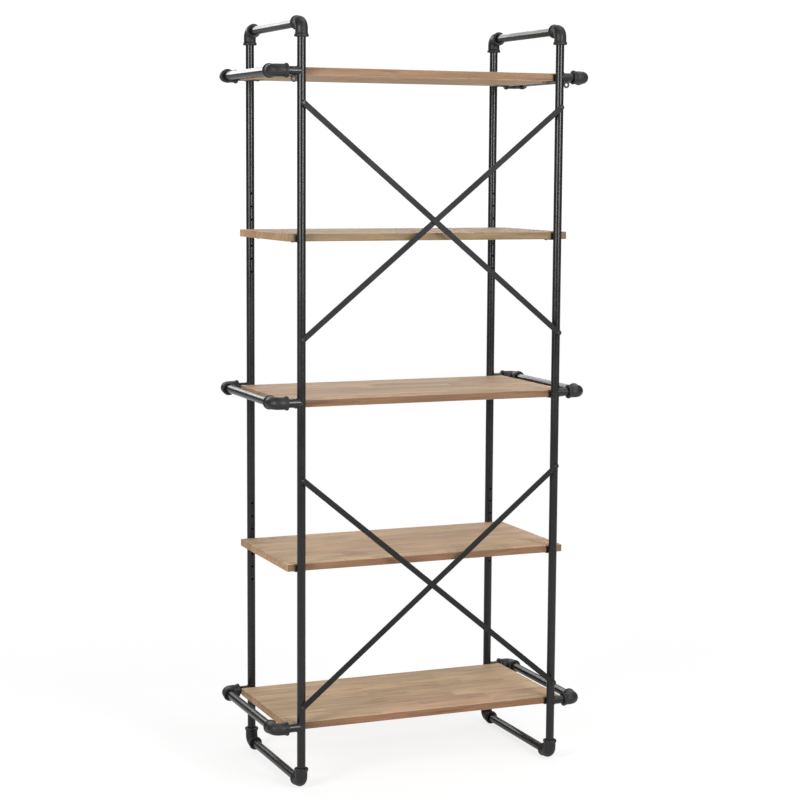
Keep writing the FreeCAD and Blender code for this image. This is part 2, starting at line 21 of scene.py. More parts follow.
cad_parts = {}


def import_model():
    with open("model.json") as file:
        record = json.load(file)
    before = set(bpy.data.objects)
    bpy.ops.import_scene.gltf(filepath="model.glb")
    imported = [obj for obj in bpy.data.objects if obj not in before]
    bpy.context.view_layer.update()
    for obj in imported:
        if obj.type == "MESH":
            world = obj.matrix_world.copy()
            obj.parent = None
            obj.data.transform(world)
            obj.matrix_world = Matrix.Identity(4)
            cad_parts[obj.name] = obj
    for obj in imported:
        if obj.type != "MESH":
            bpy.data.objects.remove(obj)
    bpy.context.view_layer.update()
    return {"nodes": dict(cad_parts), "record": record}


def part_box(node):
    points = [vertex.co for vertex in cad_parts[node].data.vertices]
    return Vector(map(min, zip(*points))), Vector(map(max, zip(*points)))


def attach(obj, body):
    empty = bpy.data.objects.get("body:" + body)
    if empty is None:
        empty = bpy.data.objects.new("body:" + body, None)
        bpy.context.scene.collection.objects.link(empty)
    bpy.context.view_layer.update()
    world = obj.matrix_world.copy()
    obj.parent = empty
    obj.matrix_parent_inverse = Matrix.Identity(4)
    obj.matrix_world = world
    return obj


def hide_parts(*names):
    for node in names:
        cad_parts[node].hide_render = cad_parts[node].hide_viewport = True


LOG = logging.getLogger("bookcase")

FRAME_BODY = "frame"
OUTSIDE = "outside"
SIDES = ("braced", "open")
RAILS = ("low", "middle", "high")
TOUCH = 1e-6

Piece = bpy.types.Object
Material = bpy.types.Material
Tree = bpy.types.NodeTree
Socket = bpy.types.NodeSocket
Outputs = bpy.types.NodeOutputs
Place = tuple[float, float, float]
Colour = tuple[float, float, float]
Setting = float | int | bool | str | tuple | Vector | Socket
Part = bmesh.types.BMVert | bmesh.types.BMEdge | bmesh.types.BMFace


class Hand(Enum):
    """The end frame that a piece belongs to, with the sign of its X."""

    LEFT = -1
    RIGHT = 1


class Level(Enum):
    """The boards, from the floor up, with the body that each rides on."""

    BOTTOM = ("bottom", "frame")
    LOWER = ("lower", "lower_shelf")
    MIDDLE = ("middle", "frame")
    UPPER = ("upper", "upper_shelf")
    TOP = ("top", "frame")

    @property
    def word(self) -> str:
        """The level's part of a node name."""
        return self.value[0]

    @property
    def body(self) -> str:
        """The body that the board moves with."""
        return self.value[1]


# ---- Shader trees ----


@dataclass
class Sheet:
    """A node tree that is being filled in."""

    tree: Tree

    def add(
        self, kind: str, inputs: dict[str | int, Setting] | None = None, **settings: object
    ) -> bpy.types.Node:
        """Adds a node, sets it and links it.

        Args:
            kind: The node's type.
            inputs: A number, colour or vector for a socket, or the output that feeds it.
            settings: The node's own properties.

        Returns:
            The node.
        """
        node = self.tree.nodes.new(kind)
        for name, value in settings.items():
            setattr(node, name, value)
        for name, value in (inputs or {}).items():
            if isinstance(value, Socket):
                self.tree.links.new(value, node.inputs[name])
            else:
                node.inputs[name].default_value = value
        return node

    def math(self, operation: str, *values: Setting, clamp: bool = False) -> Socket:
        """A Math node's result, kept between 0 and 1 if it is clamped."""
        inputs = dict(enumerate(values))
        return self.add("ShaderNodeMath", inputs, operation=operation, use_clamp=clamp).outputs[0]

    def vector(self, operation: str, *values: Setting) -> Socket:
        """A Vector Math node's result."""
        inputs = dict(enumerate(values))
        return self.add("ShaderNodeVectorMath", inputs, operation=operation).outputs[0]

    def ramp(
        self, value: Setting, low: float, high: float, to_low: float = 0.0, to_high: float = 1.0
    ) -> Socket:
        """A smooth, clamped change of range: low gives to_low, and high gives to_high."""
        span = {"From Min": low, "From Max": high, "To Min": to_low, "To Max": to_high}
        node = self.add("ShaderNodeMapRange", {"Value": value, **span}, interpolation_type="SMOOTHSTEP")
        return node.outputs["Result"]

    def mix(
        self, share: Setting, first: Setting, second: Setting, blend: str = "MIX"
    ) -> Socket:
        """A blend of two colours.

        Args:
            share: How much of the second shows.
            first: A colour or the output that feeds it.
            second: A colour or the output that feeds it.
            blend: How they blend. MULTIPLY tints the first with the second.

        Returns:
            The colour socket.
        """
        node = self.add("ShaderNodeMix", {"Factor": share}, data_type="RGBA", blend_type=blend)
        for name, value in (("A_Color", first), ("B_Color", second)):
            socket = next(item for item in node.inputs if item.identifier == name)
            if isinstance(value, Socket):
                self.tree.links.new(value, socket)
            else:
                socket.default_value = opaque(value)
        return next(item for item in node.outputs if item.identifier == "Result_Color")

    def noise(
        self, at: Setting, scale: Setting = 1.0, detail: float = 3.0, rough: float = 0.5
    ) -> Socket:
        """A noise texture's value, from 0 to 1. The scale is in features per metre."""
        inputs = {"Vector": at, "Scale": scale, "Detail": detail, "Roughness": rough}
        return self.add("ShaderNodeTexNoise", inputs).outputs[0]

    def stretched(self, at: Setting, scale: tuple[float, float, float]) -> Socket:
        """Coordinates scaled along each axis."""
        return self.add("ShaderNodeMapping", {"Vector": at, "Scale": scale}).outputs[0]

    def group(self, tree: Tree, inputs: dict[str, Setting]) -> Outputs:
        """The outputs of a shared group."""
        return self.add("ShaderNodeGroup", inputs, node_tree=tree).outputs

    def principled(
        self, colour: Socket, rough: Socket, bump: dict[str, Setting], specular: float,
        metallic: float = 0.0,
    ) -> None:
        """Ends a material with a Principled BSDF.

        Args:
            colour: What feeds its base colour.
            rough: What feeds its roughness.
            bump: The inputs of the bump that feeds its normal.
            specular: Its specular level.
            metallic: Its metallic value.
        """
        normal = self.add("ShaderNodeBump", bump).outputs[0]
        inputs = {"Base Color": colour, "Roughness": rough, "Normal": normal}
        shader = self.add("ShaderNodeBsdfPrincipled", inputs)
        shader.inputs["Metallic"].default_value = metallic
        shader.inputs["Specular IOR Level"].default_value = specular
        self.add("ShaderNodeOutputMaterial", {"Surface": shader.outputs[0]})


def opaque(colour: Colour) -> tuple[float, float, float, float]:
    """The colour with a full alpha."""
    return (*colour, 1.0)


def new_material(name: str) -> tuple[Material, Sheet]:
    """An empty material.

    Args:
        name: Its name.

    Returns:
        The material and the sheet of its tree.
    """
    made = bpy.data.materials.new(name)
    made.use_nodes = True
    made.node_tree.nodes.clear()
    return made, Sheet(made.node_tree)


def new_group(
    name: str, inputs: dict[str, float | None], outputs: Iterable[str]
) -> tuple[Sheet, Outputs]:
    """A shader group with its sockets.

    Args:
        name: The group's name.
        inputs: The default of each value input, and None for a vector.
        outputs: The names of the value outputs.

    Returns:
        The sheet of the group, and what its inputs give.
    """
    tree = bpy.data.node_groups.new(name, "ShaderNodeTree")
    for label, default in inputs.items():
        kind = "NodeSocketVector" if default is None else "NodeSocketFloat"
        socket = tree.interface.new_socket(name=label, in_out="INPUT", socket_type=kind)
        if default is not None:
            socket.default_value = default
    for label in outputs:
        tree.interface.new_socket(name=label, in_out="OUTPUT", socket_type="NodeSocketFloat")
    sheet = Sheet(tree)
    return sheet, sheet.add("NodeGroupInput").outputs


@dataclass(frozen=True)
class Effects:
    """The shader groups that several finishes use."""

    coat_texture: Tree
    settled_dust: Tree
    pine_grain: Tree

    @staticmethod
    def build() -> Effects:
        """Makes each group once."""
        return Effects(coat_texture_group(), settled_dust_group(), pine_grain_group())


def coat_texture_group() -> Tree:
    """The fine relief of a sprayed or cast surface, and the slow drift of its gloss."""
    inputs = {"Vector": None, "Grain": 900.0, "Patch": 14.0}
    sheet, given = new_group("coat_texture", inputs, ("Relief", "Drift", "Speck"))
    fine = sheet.noise(given["Vector"], given["Grain"], 2.0)
    cells = {"Vector": given["Vector"], "Scale": given["Grain"]}
    lumps = sheet.add("ShaderNodeTexVoronoi", cells, feature="SMOOTH_F1").outputs["Distance"]
    drift = sheet.noise(given["Vector"], given["Patch"], 4.0)
    results = {
        "Relief": sheet.math("MULTIPLY_ADD", lumps, 0.4, fine),
        "Drift": sheet.ramp(drift, 0.3, 0.7),
        "Speck": sheet.ramp(fine, 0.62, 0.78),
    }
    sheet.add("NodeGroupOutput", results)
    return sheet.tree


def settled_dust_group() -> Tree:
    """A mask of thin dust on what faces up."""
    sheet, given = new_group("settled_dust", {"Vector": None, "Amount": 0.1}, ("Mask",))
    normal = sheet.add("ShaderNodeNewGeometry").outputs["Normal"]
    upward = sheet.add("ShaderNodeSeparateXYZ", {0: normal}).outputs["Z"]
    facing = sheet.ramp(upward, 0.35, 1.0)
    patches = sheet.ramp(sheet.noise(given["Vector"], 60.0, 5.0, 0.65), 0.35, 0.75)
    settled = sheet.math("MULTIPLY", facing, patches)
    sheet.add("NodeGroupOutput", {"Mask": sheet.math("MULTIPLY", settled, given["Amount"])})
    return sheet.tree


KNOT_CELLS = (6.0, 17.0, 17.0)
KNOT_CHANCE = 0.26
SWAY_SPACING = (3.0, 16.0, 16.0)
SWAY_REACH = 0.016
STREAK_SPACING = (7.0, 95.0, 95.0)
FIBRE_SPACING = (14.0, 900.0, 900.0)
TONE_SPACING = (8.0, 70.0, 70.0)


def pine_grain_group() -> Tree:
    """Growth rings, fibres and small knots of a stave that runs along X.

    The spacings are features per metre, along the stave and across it.
    """
    inputs = {"Vector": None, "Shift": None, "Rings": 72.0}
    outputs = ("Ring", "Streak", "Fibre", "Knot", "Halo", "Tone")
    sheet, given = new_group("pine_grain", inputs, outputs)
    moved = sheet.vector("ADD", given["Vector"], given["Shift"])
    cells = sheet.add(
        "ShaderNodeTexVoronoi", {"Vector": sheet.stretched(moved, KNOT_CELLS), "Scale": 1.0}
    ).outputs
    chance = sheet.add("ShaderNodeSeparateColor", {0: cells["Color"]}).outputs
    present = sheet.math("GREATER_THAN", chance[0], 1.0 - KNOT_CHANCE)
    girth = sheet.math("MULTIPLY_ADD", chance[1], 0.75, 0.35)
    reach = sheet.math("DIVIDE", cells["Distance"], girth)
    knot = sheet.math("MULTIPLY", sheet.ramp(reach, 0.085, 0.04), present)
    halo = sheet.math("MULTIPLY", sheet.ramp(reach, 0.34, 0.05), present)
    spaced = sheet.stretched(moved, SWAY_SPACING)
    drift = {"Vector": spaced, "Scale": 1.0, "Detail": 3.0, "Roughness": 0.55}
    sway = sheet.add("ShaderNodeTexNoise", drift).outputs["Color"]
    bent = sheet.vector("MULTIPLY_ADD", sway, (SWAY_REACH,) * 3, moved)
    lift = sheet.add(
        "ShaderNodeCombineXYZ",
        {"Y": sheet.math("MULTIPLY", halo, 0.006), "Z": sheet.math("MULTIPLY", halo, 0.01)},
    )
    wave = sheet.add(
        "ShaderNodeTexWave",
        {
            "Vector": sheet.vector("ADD", bent, lift.outputs[0]),
            "Scale": given["Rings"], "Distortion": 1.2, "Detail": 2.0, "Detail Scale": 0.6,
        },
        wave_type="RINGS", rings_direction="X", wave_profile="SAW",
    ).outputs["Fac"]
    streaks = sheet.noise(sheet.stretched(bent, STREAK_SPACING), detail=4.0, rough=0.65)
    results = {
        "Ring": sheet.math("POWER", wave, 2.2),
        "Streak": sheet.ramp(streaks, 0.53, 0.68),
        "Fibre": sheet.noise(sheet.stretched(moved, FIBRE_SPACING), detail=4.0, rough=0.6),
        "Knot": knot,
        "Halo": halo,
        "Tone": sheet.noise(sheet.stretched(moved, TONE_SPACING), detail=3.0, rough=0.6),
    }
    sheet.add("NodeGroupOutput", results)
    return sheet.tree


@dataclass(frozen=True)
class CoatFinish:
    """A black coat on steel or iron: its colour, gloss and relief."""

    name: str
    colour: Colour
    worn: Colour
    gloss_low: float
    gloss_high: float
    grain: float
    relief: float
    patch: float = 14.0
    metallic: float = 0.0
    specular: float = 0.5
    dust: float = 0.12
    rubbing: float = 0.5
    flecks: float = 0.35
    dust_rough: float = 0.5

    def material(self, effects: Effects) -> Material:
        """Builds the finish.

        Args:
            effects: The shared groups.

        Returns:
            The material.
        """
        made, sheet = new_material(self.name)
        at = sheet.add("ShaderNodeTexCoord").outputs["Object"]
        scales = {"Vector": at, "Grain": self.grain, "Patch": self.patch}
        texture = sheet.group(effects.coat_texture, scales)
        dust = sheet.group(effects.settled_dust, {"Vector": at, "Amount": self.dust})["Mask"]
        rubbed = sheet.math("MULTIPLY", texture["Drift"], self.rubbing)
        flecks = sheet.math("MULTIPLY", texture["Speck"], self.flecks)
        coat = sheet.mix(flecks, sheet.mix(rubbed, self.colour, self.worn), self.worn)
        colour = sheet.mix(dust, coat, DUST_COLOUR)
        gloss = sheet.ramp(texture["Drift"], 0.0, 1.0, self.gloss_low, self.gloss_high)
        rough = sheet.math("MULTIPLY_ADD", dust, self.dust_rough, gloss, clamp=True)
        bump = {"Height": texture["Relief"], "Distance": self.relief, "Strength": 0.6}
        sheet.principled(colour, rough, bump, self.specular, self.metallic)
        return made


DUST_COLOUR: Colour = (0.42, 0.40, 0.37)
TUBE_COAT = CoatFinish(
    "black_tube_coat", (0.008, 0.008, 0.0085), (0.013, 0.013, 0.0135), 0.21, 0.29, 1100.0, 0.000004,
    specular=0.36,
)
CAST_PAINT = CoatFinish(
    "black_cast_paint", (0.009, 0.009, 0.0095), (0.019, 0.0185, 0.018), 0.42, 0.58, 620.0, 0.00012,
    patch=40.0, specular=0.38,
)
BAR_COAT = CoatFinish(
    "black_flat_bar_coat", (0.009, 0.009, 0.0095), (0.016, 0.016, 0.016), 0.48, 0.60, 1100.0, 0.00002,
    specular=0.20,
)
PLATE_COAT = CoatFinish(
    "black_plate_coat", (0.010, 0.010, 0.0105), (0.018, 0.018, 0.018), 0.38, 0.50, 1200.0, 0.00002
)
BLACK_OXIDE = CoatFinish(
    "black_oxide", (0.022, 0.022, 0.024), (0.060, 0.060, 0.062), 0.28, 0.42, 1800.0, 0.00004,
    patch=180.0, metallic=0.6, dust=0.05,
)
WELD_PAINT = CoatFinish(
    "painted_weld", (0.010, 0.010, 0.0105), (0.020, 0.020, 0.020), 0.36, 0.50, 900.0, 0.00016,
    patch=90.0,
)
ZINC = CoatFinish(
    "zinc_plate", (0.42, 0.42, 0.43), (0.58, 0.58, 0.57), 0.30, 0.45, 1500.0, 0.00003,
    patch=120.0, metallic=1.0, dust=0.0,
)


@dataclass(frozen=True)
class PineFinish:
    """Clear-coated pine staves: the colours of the wood, a painted shade on the long edges, and how
    much each mark shows.
    """

    name: str = "pine_board"
    early: Colour = (0.545, 0.385, 0.236)
    late: Colour = (0.350, 0.210, 0.108)
    knot: Colour = (0.13, 0.065, 0.035)
    rosy: Colour = (0.530, 0.335, 0.215)
    straw: Colour = (0.520, 0.385, 0.218)
    # Painted shade: darkens the long front and back edges, and warms them a little, to stand for the
    # dimmer light that falls on them.
    edge_tint: Colour = (0.440, 0.405, 0.350)
    edge_red: Colour = (0.53, 0.285, 0.180)
    edge_olive: Colour = (0.475, 0.375, 0.215)
    end_tint: Colour = (0.82, 0.72, 0.66)
    tone_low: float = 0.84
    tone_high: float = 1.05
    ring_share: float = 0.42
    streak_share: float = 0.75
    fibre_share: float = 0.34
    halo_share: float = 0.5
    knot_share: float = 0.85
    relief: float = 0.00012
    specular: float = 0.35
    shift_span: Place = (9.0, 0.05, -0.05)
    shift_from: Place = (0.0, -0.025, -0.035)

    def material(self, effects: Effects) -> Material:
        """Builds the finish. It reads each stave's random shares from the attribute "stave".

        Args:
            effects: The shared groups.

        Returns:
            The material.
        """
        made, sheet = new_material(self.name)
        where = sheet.add("ShaderNodeTexCoord").outputs
        stave = sheet.add("ShaderNodeAttribute", attribute_name="stave").outputs["Color"]
        shares = sheet.add("ShaderNodeSeparateColor", {0: stave}).outputs
        shift = sheet.vector("MULTIPLY_ADD", stave, self.shift_span, self.shift_from)
        grain = sheet.group(effects.pine_grain, {"Vector": where["Object"], "Shift": shift})
        facing = sheet.add("ShaderNodeSeparateXYZ", {0: where["Normal"]}).outputs
        edge = sheet.ramp(sheet.math("ABSOLUTE", facing["Y"]), 0.65, 0.97)
        end = sheet.ramp(sheet.math("ABSOLUTE", facing["X"]), 0.5, 0.95)
        base = self._stave_colour(sheet, edge, shares)
        wood = self._grained(sheet, grain, base, shares[2])
        # Painted shade: the long front and back edges are darkened here.
        edge_shaded = sheet.mix(edge, wood, self.edge_tint, "MULTIPLY")
        colour = sheet.mix(end, edge_shaded, self.end_tint, "MULTIPLY")
        rough = sheet.ramp(grain["Ring"], 0.0, 1.0, 0.62, 0.50)
        height = sheet.math("MULTIPLY_ADD", grain["Fibre"], 0.8, grain["Ring"])
        bump = {"Height": height, "Distance": self.relief, "Strength": 0.5}
        sheet.principled(colour, rough, bump, self.specular)
        return made

    def _stave_colour(
        self, sheet: Sheet, edge: Socket, shares: Outputs
    ) -> Socket:
        """The early wood of a stave: rosy or straw-coloured, and redder or duller on its edges.

        Args:
            sheet: The material's sheet.
            edge: The mask of the long edges.
            shares: The stave's three random shares.

        Returns:
            The colour socket.
        """
        warm = sheet.mix(sheet.ramp(shares[1], 0.45, 1.0, 0.0, 0.6), self.early, self.rosy)
        base = sheet.mix(sheet.ramp(shares[1], 0.45, 0.0, 0.0, 0.6), warm, self.straw)
        olive = sheet.math("MULTIPLY", edge, sheet.ramp(shares[0], 0.5, 0.1, 0.0, 0.8))
        dulled = sheet.mix(olive, base, self.edge_olive)
        red = sheet.math("MULTIPLY", edge, sheet.ramp(shares[0], 0.6, 0.95, 0.0, 0.7))
        return sheet.mix(red, dulled, self.edge_red)

    def _grained(
        self, sheet: Sheet, grain: Outputs, base: Socket,
        share: Socket,
    ) -> Socket:
        """The wood with its rings, streaks, fibres, knots and tone.

        Args:
            sheet: The material's sheet.
            grain: The outputs of the grain group.
            base: The colour of the early wood.
            share: The stave's share that decides its tone.

        Returns:
            The colour socket.
        """
        marks = (
            (sheet.math("MULTIPLY", grain["Ring"], self.ring_share), self.late),
            (sheet.math("MULTIPLY", grain["Streak"], self.streak_share), self.late),
            (sheet.ramp(grain["Fibre"], 0.35, 0.75, 0.0, self.fibre_share), self.late),
            (sheet.math("MULTIPLY", grain["Halo"], self.halo_share), self.late),
            (sheet.math("MULTIPLY", grain["Knot"], self.knot_share), self.knot),
        )
        colour = base
        for mask, mark in marks:
            tint = tuple(part / whole for part, whole in zip(mark, self.early))
            colour = sheet.mix(mask, colour, tint, "MULTIPLY")
        tone = sheet.math(
            "MULTIPLY",
            sheet.ramp(share, 0.0, 1.0, self.tone_low, self.tone_high),
            sheet.ramp(grain["Tone"], 0.3, 0.7, 0.84, 1.12),
        )
        grey = sheet.add("ShaderNodeCombineColor", {0: tone, 1: tone, 2: tone}).outputs[0]
        return sheet.mix(1.0, colour, grey, "MULTIPLY")


# ---- Modelling helpers ----


def clear_selection() -> None:
    """Leaves nothing selected, so that an operator acts only on the piece in hand."""
    bpy.ops.object.select_all(action="DESELECT")


def active() -> Piece:
    """The piece in hand."""
    return bpy.context.view_layer.objects.active


def hold(*pieces: Piece) -> None:
    """Selects some pieces and nothing else, with the first one in hand.

    Args:
        pieces: The pieces.
    """
    clear_selection()
    for piece in pieces:
        piece.select_set(True)
    bpy.context.view_layer.objects.active = pieces[0]


def start(
    primitive: Callable[..., object], scale: Iterable[float] = (1, 1, 1), **settings: object
) -> Piece:
    """Adds a primitive, with its place, turn and scale applied to its mesh.

    Args:
        primitive: The operator that adds it.
        scale: Its scale.
        settings: What the operator is told.

    Returns:
        The new piece, in hand.
    """
    clear_selection()
    primitive(**settings)
    active().scale = scale
    bpy.ops.object.transform_apply(location=True, rotation=True, scale=True)
    return active()


def modify(kind: str, **settings: object) -> None:
    """Adds a modifier to the piece in hand and applies it.

    Args:
        kind: The modifier's type.
        settings: Its properties.
    """
    modifier = active().modifiers.new(kind.lower(), kind)
    for name, value in settings.items():
        setattr(modifier, name, value)
    bpy.ops.object.modifier_apply(modifier=modifier.name)


def edit_mesh() -> bmesh.types.BMesh:
    """The mesh of the piece in hand, in edit mode."""
    return bmesh.from_edit_mesh(active().data)


def choose(mode: str, test: Callable[[Part], bool]) -> None:
    """Selects the parts of the piece in hand that pass a test, and nothing else.

    Args:
        mode: VERT, EDGE or FACE.
        test: Told each part.
    """
    bpy.ops.mesh.select_mode(type=mode)
    bpy.ops.mesh.select_all(action="DESELECT")
    mesh = edit_mesh()
    parts = {"VERT": mesh.verts, "EDGE": mesh.edges, "FACE": mesh.faces}[mode]
    for part in [part for part in parts if test(part)]:
        part.select_set(True)
    mesh.select_flush_mode()
    bmesh.update_edit_mesh(active().data)


def pick(test: Callable[[Vector], bool]) -> None:
    """Selects only the vertices whose places pass a test."""
    choose("VERT", lambda vert: test(vert.co))


def pick_edges(test: Callable[[Vector, Vector], bool]) -> None:
    """Selects only the edges whose two ends pass a test."""
    choose("EDGE", lambda edge: test(edge.verts[0].co, edge.verts[1].co))


def finish_piece(
    piece: Piece, name: str, finish: Material, angle: float, flat: bool = False
) -> None:
    """Names a modelled piece, gives it its finish and shades it by angle.

    Args:
        piece: The piece, with its place already in its mesh.
        name: Its name.
        finish: Its only material.
        angle: Edges sharper than this stay sharp, in degrees.
        flat: Whether wide faces are shaded flat right up to their eased edges.
    """
    piece.name = name
    piece.data.name = name
    piece.data.materials.clear()
    piece.data.materials.append(finish)
    hold(piece)
    bpy.ops.object.shade_smooth_by_angle(angle=math.radians(angle), keep_sharp_edges=False)
    if flat:
        modify("WEIGHTED_NORMAL", keep_sharp=True)
    clear_selection()


def placed_copies(master: Piece, places: Iterable[Matrix]) -> Piece:
    """Copies a master to some places, each with its own mesh, and joins them.

    Args:
        master: The modelled piece, at the origin.
        places: Where the copies go.

    Returns:
        The joined piece, with its object at the origin.
    """
    copies = []
    for place in places:
        copy = master.copy()
        copy.data = master.data.copy()
        bpy.context.scene.collection.objects.link(copy)
        copy.data.transform(place)
        copies.append(copy)
    hold(*copies)
    if len(copies) > 1:
        bpy.ops.object.join()
    clear_selection()
    return copies[0]


def discard(master: Piece) -> None:
    """Removes a master once its copies are placed."""
    bpy.data.meshes.remove(master.data)


def centre_of(node: str) -> Vector:
    """The middle of a node's box."""
    low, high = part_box(node)
    return (low + high) / 2


def size_of(node: str) -> Vector:
    """The size of a node's box."""
    low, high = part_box(node)
    return high - low


def turned(at: Vector, first: Vector, second: Vector) -> Matrix:
    """A placement that puts the origin at a point, and turns +X and +Y to two directions."""
    turn = Matrix((first, second, first.cross(second))).transposed().to_4x4()
    return Matrix.Translation(at) @ turn


X_AXIS = Vector((1, 0, 0))
Y_AXIS = Vector((0, 1, 0))
Z_AXIS = Vector((0, 0, 1))


# ---- Cast elbows ----


@dataclass
class CastElbows:
    """The cast elbows: a hollow bend with a flared, rolled collar at each mouth."""

    effects: Effects
    body_radius: float = 0.0148
    socket_radius: float = 0.0102
    socket_depth: float = 0.018
    collar_length: float = 0.008
    flare: float = 0.0035
    seam_rise: float = 0.00035
    seam_width: float = 0.0006
    seam_clear: float = 0.001
    ring_points: int = 36
    bend_steps: int = 10
    lump: float = 0.00022
    lump_spacing: float = 0.006
    rim_round: float = 0.0012
    socket_lip: float = 0.0013
    mouth_clear: float = 0.0003
    shading_angle: float = 40.0

    def build(self) -> None:
        """Models one elbow and puts it at every corner of the end frames and rails."""
        finish = CAST_PAINT.material(self.effects)
        master = self._model()
        places = self._places()
        for node, corners in places.items():
            piece = placed_copies(master, corners)
            finish_piece(piece, f"cast_{node}", finish, self.shading_angle)
            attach(piece, FRAME_BODY)
            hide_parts(node)
        discard(master)
        LOG.info("cast elbows: %d", sum(len(corners) for corners in places.values()))

    def _places(self) -> dict[str, list[Matrix]]:
        """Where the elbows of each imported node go.

        Returns:
            The placements under the name of their node.
        """
        places = {}
        for hand in Hand:
            word = hand.name.lower()
            for end, up in (("foot", 1), ("top", -1)):
                for side, inward in zip(SIDES, (1, -1)):
                    node = f"{end}_elbow_{side}_{word}"
                    places[node] = [self._end_place(node, up, inward)]
            for rail in RAILS:
                node = f"{rail}_rail_elbows_{word}"
                places[node] = self._rail_places(node, hand)
        return places

    def _end_place(self, node: str, up: int, inward: int) -> Matrix:
        """Where an elbow goes at a foot or top corner.

        Args:
            node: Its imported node.
            up: 1 if its upright rises from it, -1 if it comes down to it.
            inward: The sign of Y towards the bar.

        Returns:
            The placement.
        """
        low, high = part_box(node)
        collar = (high.x - low.x) / 2
        y = low.y + collar if inward > 0 else high.y - collar
        z = low.z + collar if up > 0 else high.z - collar
        return turned(Vector(((low.x + high.x) / 2, y, z)), Z_AXIS * up, Y_AXIS * inward)

    def _rail_places(self, node: str, hand: Hand) -> list[Matrix]:
        """The placements of the two elbows of a rail.

        Args:
            node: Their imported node.
            hand: The end frame.

        Returns:
            The placements.
        """
        low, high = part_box(node)
        collar = (high.z - low.z) / 2
        x = low.x + collar if hand is Hand.LEFT else high.x - collar
        z = (low.z + high.z) / 2
        towards = X_AXIS * -hand.value
        ends = ((low.y + collar, Y_AXIS), (high.y - collar, -Y_AXIS))
        return [turned(Vector((x, y, z)), towards, inward) for y, inward in ends]

    def _model(self) -> Piece:
        """One elbow, with its corner at the origin and its mouths facing +X and +Y."""
        size = size_of("foot_elbow_open_right")
        collar = size.x / 2
        reach = size.y - collar
        bend = reach - self.socket_depth
        first = self._outline(reach, collar)
        piece = start(
            bpy.ops.mesh.primitive_circle_add, vertices=self.ring_points, radius=self.socket_radius,
            location=(bend, 0, 0), rotation=(0, math.pi / 2, 0), fill_type="NOTHING",
        )
        bpy.ops.object.mode_set(mode="EDIT")
        bpy.ops.mesh.select_all(action="SELECT")
        bpy.ops.mesh.edge_face_add()
        self._follow(first, bend, self.socket_radius, X_AXIS)
        corner = (bend, bend, 0)
        bpy.ops.mesh.spin(steps=self.bend_steps, angle=math.pi / 2, center=corner, axis=Z_AXIS)
        self._return_leg(first, bend)
        bpy.ops.mesh.edge_face_add()
        bpy.ops.mesh.select_all(action="SELECT")
        bpy.ops.mesh.remove_doubles(threshold=TOUCH * 10)
        bpy.ops.mesh.normals_make_consistent(inside=False)
        self._raise_seam(bend, reach)
        bpy.ops.object.mode_set(mode="OBJECT")
        self._roughen(piece, reach)
        return piece

    def _outline(self, reach: float, collar: float) -> list[tuple[float, float]]:
        """The stations of a leg from the bottom of its socket to its bend.

        Args:
            reach: From the corner to the mouth.
            collar: The radius of the collar.

        Returns:
            The place along the leg and the radius of each station.
        """
        bend = reach - self.socket_depth
        neck = reach - self.collar_length
        return [
            (reach - 0.0004, self.socket_radius),
            (reach, self.socket_radius + 0.0005),
            (reach, collar - 0.0016),
            (reach - 0.0005, collar - 0.0006),
            (reach - self.rim_round, collar),
            (neck + self.flare + 0.0004, collar),
            (neck + self.flare - 0.0006, collar - 0.0005),
            (neck + 0.0008, self.body_radius + 0.0006),
            (neck - 0.0006, self.body_radius),
            ((bend + neck) / 2, self.body_radius),
            (bend, self.body_radius),
        ]

    def _follow(
        self, stations: list[tuple[float, float]], start: float, radius: float, along: Vector
    ) -> None:
        """Extrudes the selected ring from station to station.

        Args:
            stations: The place along the leg and the radius of each station.
            start: Where the ring is.
            radius: Its radius.
            along: The leg's direction.
        """
        for at, next_radius in stations:
            step = along * (at - start)
            bpy.ops.mesh.extrude_edges_move(TRANSFORM_OT_translate={"value": step})
            share = next_radius / radius
            bpy.ops.transform.resize(value=(share, share, share))
            start, radius = at, next_radius

    def _return_leg(self, stations: list[tuple[float, float]], bend: float) -> None:
        """Extrudes the second leg, which is the first one backwards, from the end of the bend."""
        backwards = [*reversed(stations[:-1]), (bend, self.socket_radius)]
        self._follow(backwards, bend, self.body_radius, Y_AXIS)

    def _raise_seam(self, bend: float, reach: float) -> None:
        """Raises the thin parting line of the mould, in the plane of the two legs.

        Args:
            bend: Where the bend starts.
            reach: From the corner to a mouth.
        """
        limit = reach - self.collar_length - self.seam_clear

        def on_body(place: Vector) -> bool:
            on_leg = max(place.x, place.y) < limit
            if place.x > bend - TOUCH:
                off = abs(place.y)
            elif place.y > bend - TOUCH:
                off = abs(place.x)
            else:
                off = abs(math.hypot(place.x - bend, place.y - bend) - bend)
            return on_leg and abs(place.z) < TOUCH and abs(off - self.body_radius) < 2e-4

        pick_edges(lambda a, b: on_body(a) and on_body(b))
        bpy.ops.mesh.bevel(offset=self.seam_width, segments=2, affect="EDGES")
        pick(on_body)
        bpy.ops.transform.shrink_fatten(value=self.seam_rise)

    def _roughen(self, piece: Piece, reach: float) -> None:
        """Smooths the casting once and gives it the soft lumps of a sand mould.

        Args:
            piece: The elbow.
            reach: From the corner to a mouth.
        """
        outside = piece.vertex_groups.new(name=OUTSIDE)
        bore = self.socket_radius + self.socket_lip
        for vert in piece.data.vertices:
            place = vert.co
            in_socket = math.hypot(min(place.x, place.y), place.z) < bore
            if not in_socket and max(place.x, place.y) < reach - self.mouth_clear:
                outside.add([vert.index], 1.0, "REPLACE")
        lumps = bpy.data.textures.new("casting_lumps", "CLOUDS")
        lumps.noise_scale = self.lump_spacing
        lumps.noise_depth = 2
        hold(piece)
        modify("SUBSURF", levels=1, render_levels=1)
        modify(
            "DISPLACE", texture=lumps, texture_coords="LOCAL", strength=self.lump, mid_level=1.0,
            vertex_group=OUTSIDE,
        )
        piece.vertex_groups.clear()


# ---- Welds and eyes ----


